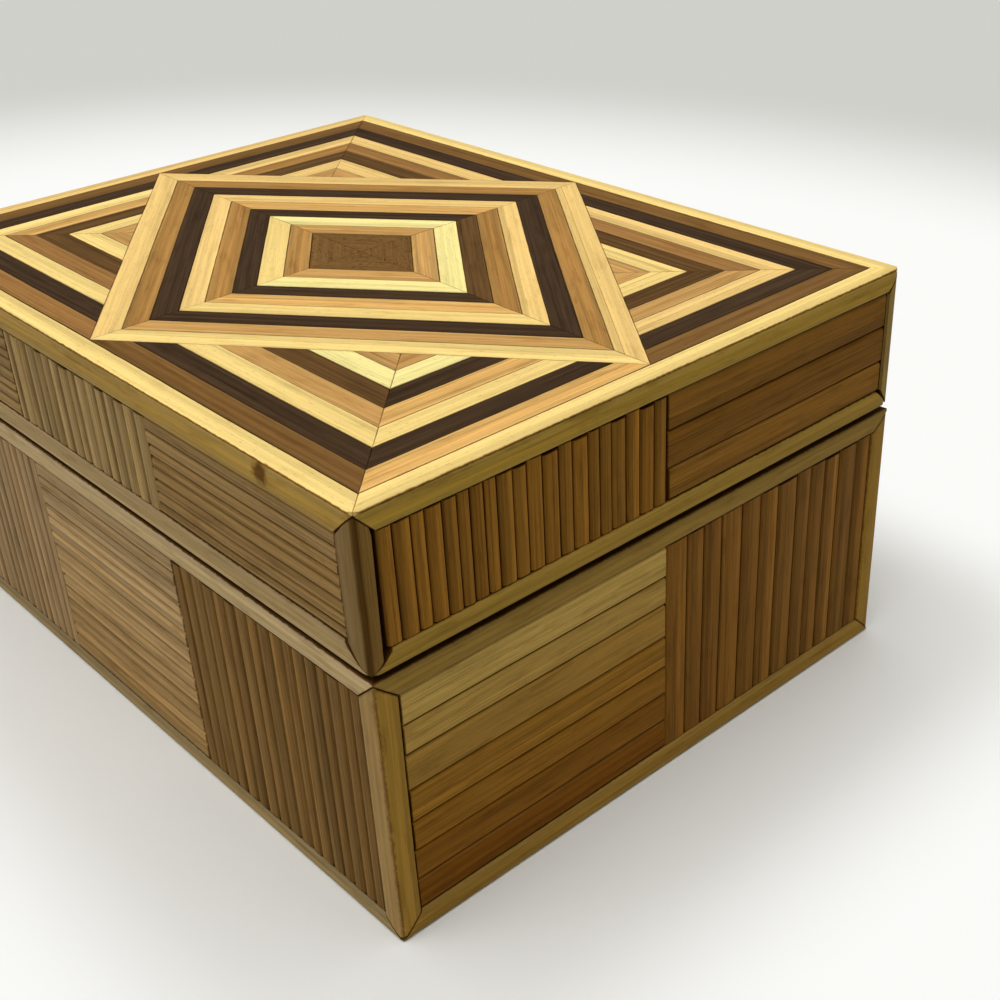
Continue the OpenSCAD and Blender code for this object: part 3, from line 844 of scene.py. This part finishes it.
def lit_and_shaded_sides(long_side, short_side, spread):
    """One colour for the strips of the front and back, and another for those of the two ends: lit and
    shaded copies of one wood, the front's paler and greyer with painted light and sheen, the ends' darker
    with painted shade.
    """
    return lambda strip: varied(short_side if strip.on_end() else long_side, strip, spread)


edging_look = {
    "grow": (-0.03 * mm, 0.02 * mm), "soften": 0.1 * mm, "ragged": 0.03 * mm, "step": 5 * mm,
    "rows": 4, "crown": 0.22 * mm,
}
bamboo_glow = (1.12, 1.06, 0.74)
bamboo = strip_finish(
    "bamboo_edging", fibre=0.9, streak=0.8, blotch=0.5, fleck=0.3, seam=1.0, seam_mm=0.2, wall_mm=0.6,
    two_tone=0.2, line=0.7, glow=bamboo_glow,
)
rim_bamboo = strip_finish(
    "bamboo_rims", fibre=0.9, streak=0.8, blotch=0.5, fleck=0.3, seam=1.3, seam_mm=0.27, wall_mm=0.6,
    wall=(0.66, 0.56, 0.41), two_tone=0.2, line=0.7, glow=(1.06, 1.04, 0.88),
)
corner_bamboo = strip_finish(
    "bamboo_corners", fibre=0.9, streak=0.8, blotch=0.5, fleck=0.3, seam=1.0, seam_mm=0.4, wall_mm=0.6,
    two_tone=0.15, line=0.5,
)
foot_stain = lit_and_shaded_sides(paint(0.59, 0.51, 0.37), paint(0.555, 0.435, 0.21), 0.06)
corner_stain = lit_and_shaded_sides(paint(0.61, 0.49, 0.30), paint(0.55, 0.42, 0.17), 0.04)
base_rim_stain = lit_and_shaded_sides(paint(0.695, 0.605, 0.46), paint(0.49, 0.39, 0.19), 0.06)
strips_piece("base_foot_edging", "base", bamboo, foot_stain, edging_look)
strips_piece("base_rim_edging", "base", rim_bamboo, base_rim_stain, edging_look)
strips_piece("base_corner_edging", "base", corner_bamboo, corner_stain, edging_look)


# Base reeds and slats
# Split reed and straw, a little ridged, glued side by side on the boards: upright reeds and level
# slats in turn, each cut by hand to a slightly different width and never quite to length.
reed_brown = paint(0.455, 0.31, 0.11)
front_reed = paint(0.485, 0.36, 0.18)
bleached_reed = paint(0.615, 0.50, 0.345)
bleached_from = 20 * mm
slat_head = paint(0.66, 0.55, 0.295)
slat_middle = paint(0.53, 0.375, 0.125)
slat_foot = paint(0.385, 0.225, 0.03)
front_slat_head = paint(0.64, 0.53, 0.37)
front_slat_middle = paint(0.68, 0.555, 0.37)
front_slat_foot = paint(0.62, 0.485, 0.29)
slats_foot = 6 * mm
slats_h = 52 * mm
# The side towards the lamps, to the left and back: the reeds' painted shading and painted highlight lie
# on it.
lit_side = Vector((-1, 1, 0))
reed_look = {
    "grow": (0.01 * mm, 0.055 * mm), "soften": 0.07 * mm, "ragged": 0.03 * mm, "step": 4 * mm,
    "rows": 4, "crown": 0.1 * mm, "lean": 0.1 * mm, "sink": 0.06 * mm, "short": (0.1 * mm, 0.6 * mm),
    "lit": lit_side,
}
slat_look = {
    "grow": (0.025 * mm, 0.055 * mm), "soften": 0.06 * mm, "ragged": 0.03 * mm, "step": 5 * mm,
    "rows": 3, "crown": 0.03 * mm, "lean": 0.06 * mm, "sink": 0.06 * mm,
    "short": (0.75 * mm, 0.3 * mm),
}
reed = strip_finish(
    "split_reed", fibre=1.5, streak=1.1, blotch=0.5, fleck=0.4, seam=0.4, seam_mm=0.14,
    wall=(0.38, 0.25, 0.15), two_tone=0.1, line=0.6, painted_side_shading=0.5, edge_light=0.6,
)
slat = strip_finish(
    "split_straw", fibre=1.3, streak=0.9, blotch=0.55, fleck=0.4, seam=0.35, seam_mm=0.12,
    wall=(0.52, 0.38, 0.25), two_tone=0.35, line=0.8, edge_light=0.2,
)


def mixed(low, high, share):
    """A colour between two, low at a share of 0 and high at 1."""
    share = min(max(share, 0), 1)
    return tuple(a + (b - a) * share for a, b in zip(low, high))


def base_reed_stain(strip):
    """Brown and darker on the ends, paler on the front and back: painted shade on the ends, painted
    light and sheen on the front and back. On the front and back, bleached past a line near their middle.
    """
    if strip.on_end():
        return varied(reed_brown, strip, 0.14)
    bleached = strip.centre.x * strip.out.y > bleached_from
    return varied(bleached_reed if bleached else front_reed, strip, 0.14)


def base_slat_stain(strip):
    """Darkest at the foot, and on the ends palest at the head. The ends' tones are darker than those of
    the front and back: painted shade beside painted light and sheen.
    """
    if strip.on_end():
        tones, spread = (slat_foot, slat_middle, slat_head), 0.06
    else:
        tones, spread = (front_slat_foot, front_slat_middle, front_slat_head), 0.1
    rise = 2 * (strip.centre.z - slats_foot) / slats_h
    half = int(rise > 1)
    return varied(mixed(tones[half], tones[half + 1], rise - half), strip, spread)


for side in ("front", "right", "back", "left"):
    strips_piece(f"base_{side}_reeds", "base", reed, base_reed_stain, reed_look)
    strips_piece(f"base_{side}_slats", "base", slat, base_slat_stain, slat_look)


# Hinges
# Two small brass butt hinges let into the back rims: a leaf on the base, a leaf on the lid, a pin
# with flat heads through their knuckles, and two slotted countersunk screws in each leaf.
brass_pale = (0.80, 0.58, 0.24, 1.0)
brass_dull = (0.58, 0.40, 0.17, 1.0)
smear_scale = (300.0, 900.0, 900.0)
grit_scale = (3800.0, 3800.0, 3800.0)
brass_relief = 0.008 * mm
hinge_ease = 0.12 * mm
slot_half = 0.16 * mm
slot_deep = 0.35 * mm
slot_short = 0.12
slot_reach = 0.01 * mm

finish = Finish("brass")
place = finish.object_place()
smear = finish.noise(place, smear_scale, 4.0, 0.6)
grit = finish.noise(place, grit_scale, 2.0, 0.5)
tarnish = finish.step(smear + (grit - 0.5) * 0.3, 0.42, 0.72)
brass = finish.surface({
    "Base Color": finish.mix(tarnish, brass_pale, brass_dull),
    "Metallic": 1.0,
    "Roughness": 0.3 + tarnish * 0.2,
    "Normal": finish.bump(smear * 0.6 + grit * 0.4, brass_relief),
})
eased("hinge_base_leaves", "base_hinge_leaves", "base", brass, hinge_ease)
eased("hinge_lid_leaves", "lid_hinge_leaves", "lid", brass, hinge_ease)
eased("hinge_pins", "hinge_pins_headed", "base", brass, hinge_ease)


def slotted_screws(node, name, body, way):
    """Screws with a slot across each flat head. way is 1 where the heads face up, or -1."""
    bm = bmesh.new()
    chance = random.Random(node)
    for solid in solids_of(node):
        head_z = max(v.co.z * way for v in solid.verts)
        head = max(solid.faces, key=lambda f: f.calc_center_median().z * way)
        centre = head.calc_center_median()
        turn = chance.uniform(0, math.pi)
        across = Vector((math.cos(turn), math.sin(turn), 0))
        for shift in (-slot_half, slot_half):
            sliced(solid, centre + across * shift, across)
        tops = [f for f in solid.faces if f.calc_center_median().z * way > head_z - slot_reach]
        middle = min(tops, key=lambda f: abs((f.calc_center_median() - centre).dot(across)))
        for face in bmesh.ops.extrude_discrete_faces(solid, faces=[middle])["faces"]:
            for vert in face.verts:
                vert.co -= (vert.co - centre) * slot_short + Vector((0, 0, slot_deep * way))
        copied = {vert: bm.verts.new(vert.co) for vert in solid.verts}
        for face in solid.faces:
            bm.faces.new([copied[vert] for vert in face.verts])
        solid.free()
    settle(bm, name, body, node, brass)


slotted_screws("hinge_base_screws", "base_hinge_screws", "base", 1)
slotted_screws("hinge_lid_screws", "lid_hinge_screws", "lid", -1)


# Lid edging
# The same bamboo round the lid's rim and under its top, with one rounded piece bent round each
# corner and cut to a point at both ends, where the level strips meet over it.
post_turn_r = 3 * mm
post_front_gap = 0.5 * mm
post_end_gap_foot = 1.6 * mm
post_end_gap_head = 1.1 * mm
post_snug_gap = 0.5 * mm
post_tip_drop = 0.75 * mm
post_tip_h = 5 * mm
post_skin = 1 * mm
post_end_crown = 0.5
knot_place = (72.5 * mm, -half_d, 95.5 * mm)


class Post(Strip):
    """A strip bent round a corner: its grain runs up, and across goes round the corner."""

    def find_run(self):
        self.way_x = Vector((math.copysign(1, self.centre.x), 0, 0))
        self.way_y = Vector((0, math.copysign(1, self.centre.y), 0))
        self.out = (self.way_x + self.way_y).normalized()
        return Vector((0, 0, 1))

    def loose(self):
        """Two posts, at opposite corners, stand a little off the strips of the end beside them."""
        return self.way_x.x * self.way_y.y < 0

    def flanks(self, co):
        """How far a point is from the corner along the long side, and along the end."""
        return half_w - abs(co.x), half_d - abs(co.y)

    def place(self, co):
        """Where a point lies up the post, round the corner, and outwards."""
        long, end = self.flanks(co)
        deep = min(long, end)
        if max(long, end) < post_turn_r:
            deep = post_turn_r - math.hypot(post_turn_r - long, post_turn_r - end)
        return co.z, end - long, -deep

    def regrow(self, least, most, trim=0):
        """A post keeps its size."""

    def end_planes(self, way):
        """Both slopes of the point at one end, each as a point and its normal."""
        faces = [f for f in self.solid.faces if f.normal.z * way > cos_hint]
        return [(f.verts[0].co.copy(), f.normal.copy()) for f in faces]

    def divide(self, step, rows):
        """Cuts the mesh into short lengths, and into rows on its two flanks."""
        corner = self.way_x * half_w + self.way_y * half_d
        for i in range(1, rows):
            flank = post_turn_r + (-self.low - post_turn_r) * i / rows
            sliced(self.solid, corner - self.way_x * flank, self.way_x)
        sliced(self.solid, corner - self.way_y * (post_turn_r + self.high) / 2, self.way_y)
        self.shortened(step)

    def laid(self, co, look):
        """Where a point comes to lie once the post has drawn off its neighbours."""
        long, end = self.flanks(co)
        out = self.way_y if long > end else self.way_x
        place = co + stray(co, out)
        along_long = max(0, long - post_turn_r) / (-self.low - post_turn_r)
        along_end = max(0, end - post_turn_r) / (self.high - post_turn_r)
        rise = (co.z - self.start) / (self.finish - self.start)
        place.z -= post_tip_drop * max(0, 1 - (co.z - self.start) / post_tip_h)
        if end < post_skin:
            place -= self.way_y * (look["crown"] * along_long ** 2)
        if long < post_skin:
            place -= self.way_x * (look["crown"] * along_end ** 2 * post_end_crown)
        place += self.way_x * (post_front_gap * along_long)
        gap = post_end_gap_foot + (post_end_gap_head - post_end_gap_foot) * rise
        if not self.loose():
            gap = post_snug_gap
        place += self.way_y * (gap * along_end)
        return place


post_bamboo = strip_finish(
    "bamboo_posts", fibre=1.0, streak=0.9, blotch=0.5, fleck=0.35, seam=1.0, seam_mm=0.2, wall_mm=0.6,
    two_tone=0.0, line=0.0, arris=6.7,
)
top_bamboo = strip_finish(
    "bamboo_top_edging", fibre=0.9, streak=0.8, blotch=0.6, fleck=0.3, seam=1.1, seam_mm=0.2, wall_mm=0.6,
    two_tone=0.25, line=0.9, glow=bamboo_glow, knot=knot_place,
)
rim_stain = lit_and_shaded_sides(paint(0.65, 0.555, 0.40), paint(0.545, 0.435, 0.19), 0.06)
top_edging_stain = lit_and_shaded_sides(paint(0.62, 0.505, 0.275), paint(0.585, 0.475, 0.215), 0.06)
loose_post = paint(0.50, 0.40, 0.24)
snug_post = paint(0.58, 0.50, 0.33)


def post_stain(strip):
    return varied(loose_post if strip.loose() else snug_post, strip, 0.06)


lid_rim_look = dict(edging_look, grow=(-0.03 * mm, 0.02 * mm, 0.5 * mm))
strips_piece("lid_rim_edging", "lid", rim_bamboo, rim_stain, lid_rim_look)
strips_piece("lid_top_edging", "lid", top_bamboo, top_edging_stain, edging_look)
strips_piece("lid_corner_posts", "lid", post_bamboo, post_stain, edging_look, Post)


# Lid reeds and slats
# The same split reed and straw as on the base, set the other way round, so that slats stand over
# reeds and reeds over slats.
lid_reed_stain = lit_and_shaded_sides(paint(0.60, 0.49, 0.305), paint(0.495, 0.34, 0.11), 0.16)
lid_slat_stain = lit_and_shaded_sides(paint(0.56, 0.445, 0.27), paint(0.465, 0.315, 0.10), 0.17)
for side in ("front", "right", "back", "left"):
    strips_piece(f"lid_{side}_reeds", "lid", reed, lid_reed_stain, reed_look)
    strips_piece(f"lid_{side}_slats", "lid", slat, lid_slat_stain, slat_look)


# Inlaid top
# Flat strips of pale, tan, brown and black wood, cut at the corners to mitres and glued to the top
# board round a lozenge, then scraped level and varnished. A pale border frames them.
woods = {
    "cream": paint(0.97, 0.845, 0.53),
    "shaded cream": paint(0.94, 0.79, 0.495),
    "straw": paint(0.985, 0.92, 0.61),
    "honey": paint(0.87, 0.69, 0.41),
    "tan": paint(0.785, 0.615, 0.37),
    "dull tan": paint(0.72, 0.55, 0.31),
    "fawn": paint(0.665, 0.50, 0.275),
    "drab": paint(0.61, 0.45, 0.26),
    "walnut": paint(0.49, 0.36, 0.20),
    "umber": paint(0.395, 0.285, 0.16),
    "ebony": paint(0.275, 0.205, 0.14),
}
inlay_look = {
    "flat": True, "grow": (0.0, 0.055 * mm), "soften": 0.05 * mm, "ragged": 0.06 * mm,
    "step": 2.5 * mm, "sink": 0.02 * mm,
}
border_look = dict(inlay_look, grow=(-0.04 * mm, 0), soften=0.1 * mm)
pale_inlay = strip_finish(
    "pale_inlay", fibre=0.5, streak=0.6, blotch=0.3, fleck=0.5, seam=0.75, seam_mm=0.15,
    two_tone=0.25, line=0.7, gloss=0.004, relief=0.02 * mm,
)
border_inlay = strip_finish(
    "border_inlay", fibre=0.45, streak=0.6, blotch=0.25, fleck=0.5, seam=0.8, seam_mm=0.15, wall_mm=0.6,
    two_tone=0.2, line=0.4, outline=0.9, gloss=0.004, relief=0.02 * mm,
)
brown_inlay = strip_finish(
    "brown_inlay", fibre=1.0, streak=1.1, blotch=0.5, fleck=0.3, seam=0.7, seam_mm=0.15,
    two_tone=0.15, line=0.35, glow=(1.05, 1.0, 0.95), gloss=0.004, relief=0.02 * mm,
)
black_inlay = strip_finish(
    "black_inlay", fibre=1.7, streak=1.5, blotch=0.5, fleck=0.1, seam=0.4, seam_mm=0.16,
    two_tone=0.1, line=0.0, scratch=0.3, gloss=0.004, relief=0.02 * mm,
)
heart_inlay = strip_finish(
    "heart_inlay", fibre=1.0, streak=1.0, blotch=0.5, fleck=0.4, seam=0.4, seam_mm=0.15,
    two_tone=0.0, line=0.0, figure=0.5, gloss=0.004, relief=0.02 * mm,
)


def inlaid(node, material, usual, spread, others=None, look=inlay_look):
    """Strips of one usual wood, with others in the places named."""
    def stain(strip):
        rear = "back" if strip.centre.y > 0 else "front"
        side = "right" if strip.centre.x > 0 else "left"
        run = "long" if abs(strip.run.x) > cos_parallel else "end"
        wood = (others or {}).get(f"{rear} {side} {run}") or (others or {}).get(f"{rear} {side}", usual)
        return varied(woods[wood], strip, spread)

    strips_piece(node, "lid", material, stain, look)


# The darker cream is the same cream made darker for the strips at the back of the top and at its front
# left: painted shade of the light falling off there.
shaded_rear = {"back right": "shaded cream", "back left": "shaded cream"}
shaded_rear_front_left = dict(shaded_rear, **{"front left": "shaded cream"})
inlaid("top_border", border_inlay, "cream", 0.03, {
    "back right end": "shaded cream", "back left end": "shaded cream", "front left end": "shaded cream",
}, border_look)
inlaid("top_field_1", brown_inlay, "walnut", 0.05, {
    "front right end": "honey", "front left long": "drab",
})
inlaid("top_field_2", black_inlay, "ebony", 0.06)
inlaid("top_field_3", pale_inlay, "cream", 0.04, shaded_rear)
inlaid("top_field_4", brown_inlay, "drab", 0.05, {
    "front right long": "tan", "front right end": "honey", "back right end": "tan",
    "front left end": "honey", "back left end": "fawn",
})
inlaid("top_field_5", black_inlay, "umber", 0.08, {
    "front right end": "ebony",
})
inlaid("top_field_6", pale_inlay, "straw", 0.03, {
    "back right": "cream", "back left": "shaded cream", "front left": "cream",
})
inlaid("top_field_hearts", brown_inlay, "tan", 0.08)
inlaid("lozenge_band_1", pale_inlay, "cream", 0.03, shaded_rear_front_left)
inlaid("lozenge_band_2", brown_inlay, "fawn", 0.05, {"front right": "tan"})
inlaid("lozenge_band_3", black_inlay, "ebony", 0.05)
inlaid("lozenge_band_4", pale_inlay, "cream", 0.04, shaded_rear_front_left)
inlaid("lozenge_band_5", brown_inlay, "fawn", 0.04, {
    "front right": "honey", "back left": "honey",
})
inlaid("lozenge_band_6", black_inlay, "ebony", 0.06, {"back right": "umber"})
inlaid("lozenge_band_7", pale_inlay, "straw", 0.03, {"front left": "cream"})
inlaid("lozenge_band_8", brown_inlay, "tan", 0.05, {"front left": "dull tan"})
inlaid("lozenge_heart", heart_inlay, "walnut", 0.04)
